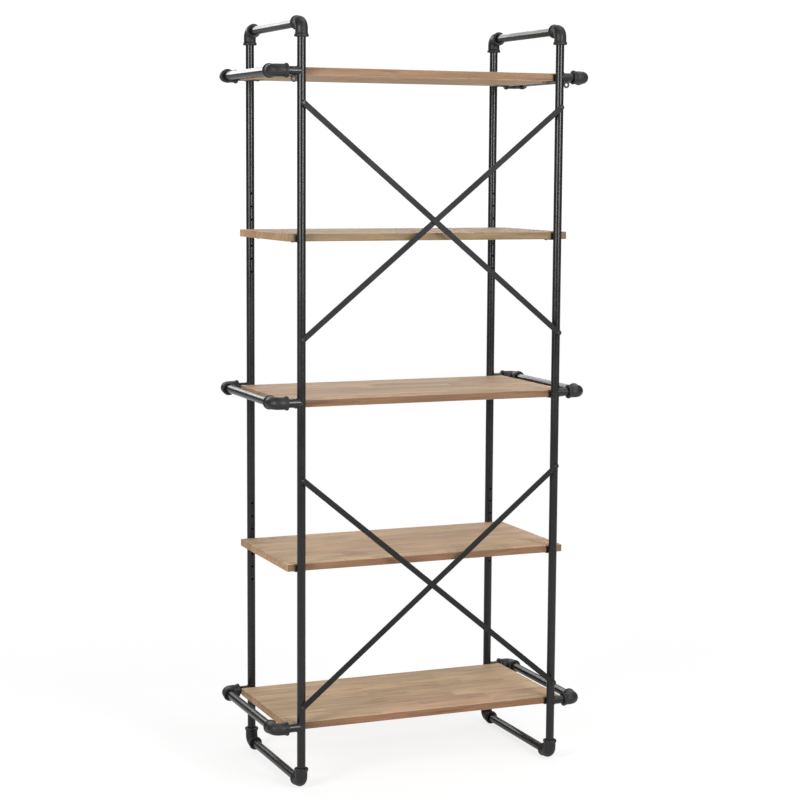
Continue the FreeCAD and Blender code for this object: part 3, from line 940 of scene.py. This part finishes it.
@dataclass
class RailWelds:
    """The weld beads where the arms of the rails meet the uprights."""

    effects: Effects
    bead_radius: float = 0.0013
    ring_points: int = 60
    section_points: int = 8
    ripple: float = 1.16
    sunk: float = 0.35
    shading_angle: float = 60.0

    def build(self) -> None:
        """Models one bead and puts one at each arm."""
        finish = WELD_PAINT.material(self.effects)
        tube = size_of("foot_bar_left").x / 2
        master = self._model(tube)
        for rail in RAILS:
            places = []
            for hand in Hand:
                word = hand.name.lower()
                upright = centre_of(f"upright_open_{word}_lower")
                height = centre_of(f"{rail}_rail_arms_{word}").z
                for side in (-1, 1):
                    at = Vector((upright.x, side * upright.y, height))
                    places.append(turned(at, X_AXIS * hand.value, Y_AXIS * hand.value))
            piece = placed_copies(master, places)
            finish_piece(piece, f"{rail}_rail_welds", finish, self.shading_angle)
            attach(piece, FRAME_BODY)
        discard(master)
        LOG.info("rail welds: 12 beads")

    def _model(self, tube: float) -> Piece:
        """A bead round an arm that leaves an upright along +X.

        Args:
            tube: The radius of both tubes.

        Returns:
            The bead, with the upright's axis at the origin.
        """
        piece = start(
            bpy.ops.mesh.primitive_torus_add,
            major_segments=self.ring_points, minor_segments=self.section_points,
            major_radius=tube + self.bead_radius * self.sunk, minor_radius=self.bead_radius,
            rotation=(0, math.pi / 2, 0),
        )
        bpy.ops.object.mode_set(mode="EDIT")
        step = math.tau / self.ring_points
        for index in range(self.ring_points):
            angle = index * step

            def in_ring(place: Vector, angle: float = angle) -> bool:
                turn = math.atan2(place.z, place.y) - angle
                return abs(math.remainder(turn, math.tau)) < step / 2

            pick(in_ring)
            rise = math.hypot(tube * math.sin(angle), self.bead_radius)
            bpy.ops.transform.translate(value=(rise, 0, 0))
            if index % 3 == 0:
                bpy.ops.transform.resize(value=(self.ripple,) * 3)
        bpy.ops.object.mode_set(mode="OBJECT")
        return piece


@dataclass
class WallEyes:
    """The wall-anchor eyes: round-edged rings, welded under the braced arms of the high rails."""

    effects: Effects
    hole_radius: float = 0.00325
    weld_size: float = 0.0016
    weld_shape: Place = (2.1, 1.2, 0.7)
    shading_angle: float = 50.0

    def build(self) -> None:
        """Models a ring with its weld and puts one at each end frame."""
        low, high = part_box("wall_anchor_eyes")
        outer = (high.z - low.z) / 2
        thickness = high.y - low.y
        section = (outer - self.hole_radius) / 2
        ring = start(
            bpy.ops.mesh.primitive_torus_add, (1, 1, thickness / (2 * section)),
            major_segments=48, minor_segments=16, major_radius=self.hole_radius + section,
            minor_radius=section, rotation=(math.pi / 2, 0, 0),
        )
        hold(ring, self._weld(outer))
        bpy.ops.object.join()
        middle = (low + high) / 2
        sides = (low.x + outer, high.x - outer)
        places = [Matrix.Translation(Vector((x, middle.y, middle.z))) for x in sides]
        piece = placed_copies(ring, places)
        discard(ring)
        finish_piece(piece, "anchor_eyes", WELD_PAINT.material(self.effects), self.shading_angle)
        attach(piece, FRAME_BODY)
        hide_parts("wall_anchor_eyes")
        LOG.info("wall-anchor eyes: 2")

    def _weld(self, outer: float) -> Piece:
        """The small bead between the ring and the arm above it.

        Args:
            outer: The outer radius of the ring.

        Returns:
            The bead.
        """
        bead = start(
            bpy.ops.mesh.primitive_ico_sphere_add, self.weld_shape,
            subdivisions=3, radius=self.weld_size, location=(0, 0, outer),
        )
        bpy.ops.object.mode_set(mode="EDIT")
        for index in (-1, 0, 1):
            at = index * self.weld_size * 1.3
            pick(lambda place, at=at: abs(place.x - at) < self.weld_size * 0.45)
            bpy.ops.transform.resize(value=(1, 1.15, 1.1))
        bpy.ops.object.mode_set(mode="OBJECT")
        return bead


# ---- Flat bars ----


@dataclass
class FlatBars:
    """The crossed flat bars, with round ends and eased edges."""

    effects: Effects
    easing: float = 0.00045
    end_segments: int = 10
    shading_angle: float = 50.0

    def build(self) -> None:
        """Models each of the four bars in its packed place."""
        finish = BAR_COAT.material(self.effects)
        for cross in ("lower", "upper"):
            for name, lean in (("rising", -1), ("falling", 1)):
                self._bar(f"{cross}_brace_{name}", lean, finish)
        LOG.info("flat bars: 4")

    def _bar(self, node: str, lean: int, finish: Material) -> None:
        """One bar.

        Args:
            node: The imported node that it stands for.
            lean: 1 if it falls to the right, -1 if it rises.
            finish: Its coat.
        """
        low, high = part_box(node)
        thickness = high.y - low.y
        width = self._width(node)
        run, rise = high.x - low.x - width, high.z - low.z - width
        bar = start(
            bpy.ops.mesh.primitive_cube_add, (math.hypot(run, rise) + width, thickness, width), size=1
        )
        bpy.ops.object.mode_set(mode="EDIT")
        straight = math.hypot(run, rise) / 2
        end = straight + width / 2

        def is_corner(a: Vector, b: Vector) -> bool:
            at_end = abs(abs(a.x) - end) < TOUCH
            return at_end and (a - b).length < thickness + TOUCH and abs(a.y - b.y) > TOUCH

        pick_edges(is_corner)
        bpy.ops.mesh.bevel(offset=width / 2 - TOUCH * 20, segments=self.end_segments, affect="EDGES")

        def on_rim(place: Vector) -> bool:
            past = max(abs(place.x) - straight, 0.0)
            return abs(math.hypot(past, place.z) - width / 2) < width * 0.02

        def is_outline(a: Vector, b: Vector) -> bool:
            on_face = abs(abs(a.y) - thickness / 2) < TOUCH and abs(a.y - b.y) < TOUCH
            return on_face and on_rim(a) and on_rim(b)

        pick_edges(is_outline)
        bpy.ops.mesh.bevel(offset=self.easing, segments=2, affect="EDGES")
        bpy.ops.object.mode_set(mode="OBJECT")
        bar.rotation_euler = (0, lean * math.atan2(rise, run), 0)
        bar.location = (low + high) / 2
        bpy.ops.object.transform_apply(location=True, rotation=True, scale=True)
        finish_piece(bar, f"flat_bar_{node}", finish, self.shading_angle, flat=True)
        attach(bar, FRAME_BODY)
        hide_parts(node)

    def _width(self, node: str) -> float:
        """A bar's width: its round end reaches half of it past the upright's axis."""
        upright = centre_of("upright_open_right_lower").x
        return (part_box(node)[1].x - upright) * 2


# ---- Boards ----


@dataclass
class PineBoards:
    """The boards: edge-glued strips of short staves with finger joints."""

    effects: Effects
    seed: int = 11
    strips: int = 8
    stave_low: float = 0.17
    stave_high: float = 0.38
    fingers: int = 6
    finger_length: float = 0.009
    easing: float = 0.0022
    easing_segments: int = 4
    groove: float = 0.00035
    groove_depth: float = 0.7
    strip_spread: float = 0.12
    stave_least: float = 0.4
    shading_angle: float = 25.0

    def build(self) -> None:
        """Models the five boards."""
        finish = PineFinish().material(self.effects)
        shuffle = random.Random(self.seed)
        for level in Level:
            self._board(level, finish, shuffle)

    def _board(self, level: Level, finish: Material, shuffle: random.Random) -> None:
        """One board.

        Args:
            level: Where it is.
            finish: The wood.
            shuffle: The source of its stave lengths and shares.
        """
        node = f"shelf_{level.word}"
        low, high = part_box(node)
        board = start(bpy.ops.mesh.primitive_cube_add, high - low, size=1, location=(low + high) / 2)
        bpy.ops.object.mode_set(mode="EDIT")
        bpy.ops.mesh.select_all(action="SELECT")
        bpy.ops.mesh.bevel(offset=self.easing, segments=self.easing_segments, affect="EDGES")
        lines = self._glue_lines(low.y, high.y, shuffle)
        for line in lines[1:-1]:
            bpy.ops.mesh.select_all(action="SELECT")
            bpy.ops.mesh.bisect(plane_co=(0, line, 0), plane_no=(0, 1, 0))
        joints = [self._joint_places(low.x, high.x, shuffle) for _ in lines[1:]]
        for near, far, places in zip(lines, lines[1:], joints):
            for at in places:
                self._finger_joint(near, far, at, low.z, high.z)
        self._open_grooves(lines[1:-1], low.z, high.z)
        bpy.ops.object.mode_set(mode="OBJECT")
        self._share_out(board, lines, joints, shuffle)
        finish_piece(board, f"board_{level.word}", finish, self.shading_angle, flat=True)
        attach(board, level.body)
        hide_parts(node)
        LOG.info("board %s: %d staves", level.word, sum(len(places) + 1 for places in joints))

    def _glue_lines(self, low: float, high: float, shuffle: random.Random) -> list[float]:
        """The Y of each glue line, with the board's two edges.

        Args:
            low: The board's near edge.
            high: Its far edge.
            shuffle: The source of the small differences in width.

        Returns:
            The places, from near to far.
        """
        width = (high - low) / self.strips
        spread = self.strip_spread
        inner = (index + shuffle.uniform(-spread, spread) for index in range(1, self.strips))
        return [low, *(low + width * place for place in inner), high]

    def _joint_places(self, low: float, high: float, shuffle: random.Random) -> list[float]:
        """The X of each finger joint in a strip.

        Args:
            low: The board's left end.
            high: Its right end.
            shuffle: The source of the stave lengths.

        Returns:
            The places, from left to right.
        """
        places = []
        at = low + shuffle.uniform(0.25, 1.0) * self.stave_high
        while at < high - self.stave_low * self.stave_least:
            places.append(at)
            at += shuffle.uniform(self.stave_low, self.stave_high)
        return places

    def _finger_joint(self, near: float, far: float, at: float, bottom: float, top: float) -> None:
        """Cuts a strip across and turns the cut into fingers on both faces.

        Args:
            near: The strip's near glue line.
            far: Its far glue line.
            at: The joint's X.
            bottom: The board's underside.
            top: Its top.
        """
        choose("FACE", lambda face: near < face.calc_center_median().y < far)
        bpy.ops.mesh.bisect(plane_co=(at, 0, 0), plane_no=(1, 0, 0))

        def on_cut(a: Vector, b: Vector) -> bool:
            flat = min(abs(a.z - bottom), abs(a.z - top)) < TOUCH and abs(a.z - b.z) < TOUCH
            across = abs(a.x - at) < TOUCH and abs(b.x - at) < TOUCH
            return flat and across and near - TOUCH < min(a.y, b.y) and max(a.y, b.y) < far + TOUCH

        pick_edges(on_cut)
        bpy.ops.mesh.subdivide(number_cuts=self.fingers * 2 - 1)
        ends = [vert.co.y for vert in edit_mesh().verts if vert.select]
        start, step = min(ends), (max(ends) - min(ends)) / (self.fingers * 2)

        def is_tip(place: Vector) -> bool:
            if abs(place.x - at) > TOUCH or min(abs(place.z - bottom), abs(place.z - top)) > TOUCH:
                return False
            count = (place.y - start) / step
            index = round(count)
            return abs(count - index) < 0.01 and 0 < index < self.fingers * 2 and index % 2 == 1

        pick(is_tip)
        bpy.ops.transform.translate(value=(self.finger_length, 0, 0))

    def _open_grooves(self, lines: list[float], bottom: float, top: float) -> None:
        """Sinks a fine groove along each glue line on both faces.

        Args:
            lines: The inner glue lines.
            bottom: The board's underside.
            top: Its top.
        """
        for face, down in ((top, -1), (bottom, 1)):
            def on_line(a: Vector, b: Vector, face: float = face) -> bool:
                level = abs(a.z - face) < TOUCH and abs(b.z - face) < TOUCH
                return level and any(
                    abs(a.y - line) < TOUCH and abs(b.y - line) < TOUCH for line in lines
                )

            pick_edges(on_line)
            bpy.ops.mesh.bevel(offset=self.groove, segments=2, affect="EDGES", clamp_overlap=True)
            pick(lambda place, on_line=on_line: on_line(place, place))
            bpy.ops.transform.translate(value=(0, 0, down * self.groove * self.groove_depth))

    def _share_out(
        self, board: Piece, lines: list[float], joints: list[list[float]], shuffle: random.Random
    ) -> None:
        """Gives each stave its own three random shares, in the attribute "stave".

        Args:
            board: The board.
            lines: Its glue lines and edges.
            joints: The finger joints of each strip.
            shuffle: The source of the shares.
        """
        shares = [
            [tuple(shuffle.random() for _ in range(3)) for _ in range(len(places) + 1)]
            for places in joints
        ]
        layer = board.data.attributes.new("stave", "FLOAT_COLOR", "CORNER")
        for face in board.data.polygons:
            strip = sum(face.center.y > line for line in lines[1:-1])
            stave = sum(face.center.x > at for at in joints[strip])
            colour = opaque(shares[strip][stave])
            for corner in face.loop_indices:
                layer.data[corner].color = colour


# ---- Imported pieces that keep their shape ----


@dataclass
class PackedPieces:
    """The tubes, plates and fasteners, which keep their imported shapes."""

    effects: Effects

    def dress(self, nodes: dict[str, Piece], slots: dict[str, str]) -> None:
        """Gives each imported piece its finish.

        Args:
            nodes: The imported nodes.
            slots: The material slot of each node.
        """
        finishes = {
            "black_tube": TUBE_COAT,
            "black_plate": PLATE_COAT,
            "black_fastener": BLACK_OXIDE,
            "bare_steel": ZINC,
        }
        made = {slot: finish.material(self.effects) for slot, finish in finishes.items()}
        for name, node in nodes.items():
            finish = made.get(slots[name])
            if finish is None or node.hide_render:
                continue
            node.data.materials.clear()
            node.data.materials.append(finish)
        LOG.info("packed pieces dressed")


# ---- Studio ----


@dataclass(frozen=True)
class Softbox:
    """An area light that the camera doesn't see, and that faces the point it aims at."""

    name: str
    at: Place
    aim: Place
    width: float
    height: float
    radiance: float

    def build(self) -> None:
        """Hangs the light."""
        data = bpy.data.lights.new(self.name, "AREA")
        data.shape = "RECTANGLE"
        data.size, data.size_y = self.width, self.height
        data.energy = self.radiance * math.pi * self.width * self.height
        light = bpy.data.objects.new(self.name, data)
        light.location = self.at
        light.rotation_euler = (Vector(self.aim) - light.location).to_track_quat("-Z", "Y").to_euler()
        light.visible_camera = False
        bpy.context.scene.collection.objects.link(light)


SOFTBOXES = (
    Softbox("left_strip", (-3.0, -1.8, 1.95), (0, 0, 1.4), 1.05, 1.7, 16.4),
    Softbox("right_strip", (1.0, -3.4, 1.95), (0, 0, 1.4), 1.05, 1.7, 16.4),
    Softbox("front_top", (1.6, -3.1, 3.9), (0, 0, 0.9), 2.4, 1.6, 3.0),
    Softbox("overhead", (1.2, 0.2, 4.6), (0, 0, 0), 3.2, 3.2, 2.0),
    Softbox("rear", (0.4, 4.2, 3.15), (0, 0, 1.7), 5.0, 1.7, 3.1),
    Softbox("rear_left", (-1.35, 4.2, 2.5), (-0.3, 0, 1.75), 1.7, 0.95, 3.3),
)


@dataclass
class Studio:
    """A pale floor, soft lights and the camera."""

    floor_size: float = 60.0
    floor_seen: float = 0.22
    floor_unseen: float = 0.42
    floor_glow: float = 0.79
    floor_fade: tuple[float, float] = (0.9, 1.9)
    ambient: float = 0.14
    backdrop: float = 1.05
    lens: float = 90.06
    sensor: float = 36.0
    camera_at: Place = (-1.8737, -4.5085, 1.4590)
    yaw: float = 22.529
    pitch: float = -6.646
    roll: float = 0.345

    def build(self) -> None:
        """Makes the stage."""
        self._camera()
        self._floor()
        self._surroundings()
        for light in SOFTBOXES:
            light.build()

    def _camera(self) -> None:
        """The camera, level but for a slight tilt."""
        data = bpy.data.cameras.new("camera")
        data.lens = self.lens
        data.sensor_width = self.sensor
        camera = bpy.data.objects.new("camera", data)
        yaw, pitch, roll = (math.radians(value) for value in (self.yaw, self.pitch, self.roll))
        upright = Euler((math.pi / 2 + pitch, 0, -yaw), "XYZ").to_matrix()
        camera.matrix_world = Matrix.Translation(self.camera_at) @ (
            upright @ Matrix.Rotation(roll, 3, "Z")
        ).to_4x4()
        bpy.context.scene.collection.objects.link(camera)
        bpy.context.scene.camera = camera

    def _floor(self) -> None:
        """A pale floor that runs into the backdrop, and that lights the object only softly."""
        floor = start(bpy.ops.mesh.primitive_plane_add, size=self.floor_size)
        floor.name = "studio_floor"
        made, sheet = new_material("studio_floor")
        place = sheet.add("ShaderNodeTexCoord").outputs["Object"]
        away = sheet.add("ShaderNodeVectorMath", {0: place}, operation="LENGTH").outputs["Value"]
        near = self._floor_side(sheet, self.floor_seen, self.floor_glow)
        far = self._floor_side(sheet, 0.0, 1.0)
        fade = sheet.ramp(away, *self.floor_fade)
        seen = sheet.add("ShaderNodeMixShader", {0: fade, 1: near, 2: far})
        unseen = self._floor_side(sheet, self.floor_unseen, self.floor_unseen)
        camera_ray = sheet.add("ShaderNodeLightPath").outputs["Is Camera Ray"]
        both = sheet.add("ShaderNodeMixShader", {0: camera_ray, 1: unseen, 2: seen.outputs[0]})
        sheet.add("ShaderNodeOutputMaterial", {"Surface": both.outputs[0]})
        floor.data.materials.append(made)

    def _floor_side(self, sheet: Sheet, grey: float, glow: float) -> Socket:
        """A shader of the floor, which sends back some light and adds some.

        Args:
            sheet: The material's sheet.
            grey: How much light it sends back.
            glow: How much light it adds.

        Returns:
            The shader socket.
        """
        matt = sheet.add("ShaderNodeBsdfDiffuse", {"Color": opaque((grey, grey, grey))})
        lit = sheet.add("ShaderNodeEmission", {"Color": opaque((1.0, 1.0, 1.0)), "Strength": glow})
        return sheet.add("ShaderNodeAddShader", {0: matt.outputs[0], 1: lit.outputs[0]}).outputs[0]

    def _surroundings(self) -> None:
        """A white backdrop that lights the object only softly."""
        world = bpy.data.worlds.new("studio")
        world.use_nodes = True
        world.node_tree.nodes.clear()
        sheet = Sheet(world.node_tree)
        seen = sheet.add("ShaderNodeLightPath").outputs["Is Camera Ray"]
        soft = sheet.add("ShaderNodeBackground", {"Color": (1, 1, 1, 1), "Strength": self.ambient})
        white = sheet.add("ShaderNodeBackground", {"Color": (1, 1, 1, 1), "Strength": self.backdrop})
        both = sheet.add("ShaderNodeMixShader", {0: seen, 1: soft.outputs[0], 2: white.outputs[0]})
        sheet.add("ShaderNodeOutputWorld", {"Surface": both.outputs[0]})
        bpy.context.scene.world = world
        bpy.context.scene.view_settings.view_transform = "Standard"


def main() -> None:
    """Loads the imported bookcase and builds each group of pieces."""
    logging.basicConfig(level=logging.INFO, format="%(name)s: %(message)s")
    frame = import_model()
    Studio().build()
    effects = Effects.build()
    for group in (CastElbows, RailWelds, WallEyes, FlatBars, PineBoards):
        group(effects).build()
    slots = {item["node"]: item["material_slot"] for item in frame["record"]["subparts"]}
    PackedPieces(effects).dress(frame["nodes"], slots)


if __name__ == "__main__":
    main()
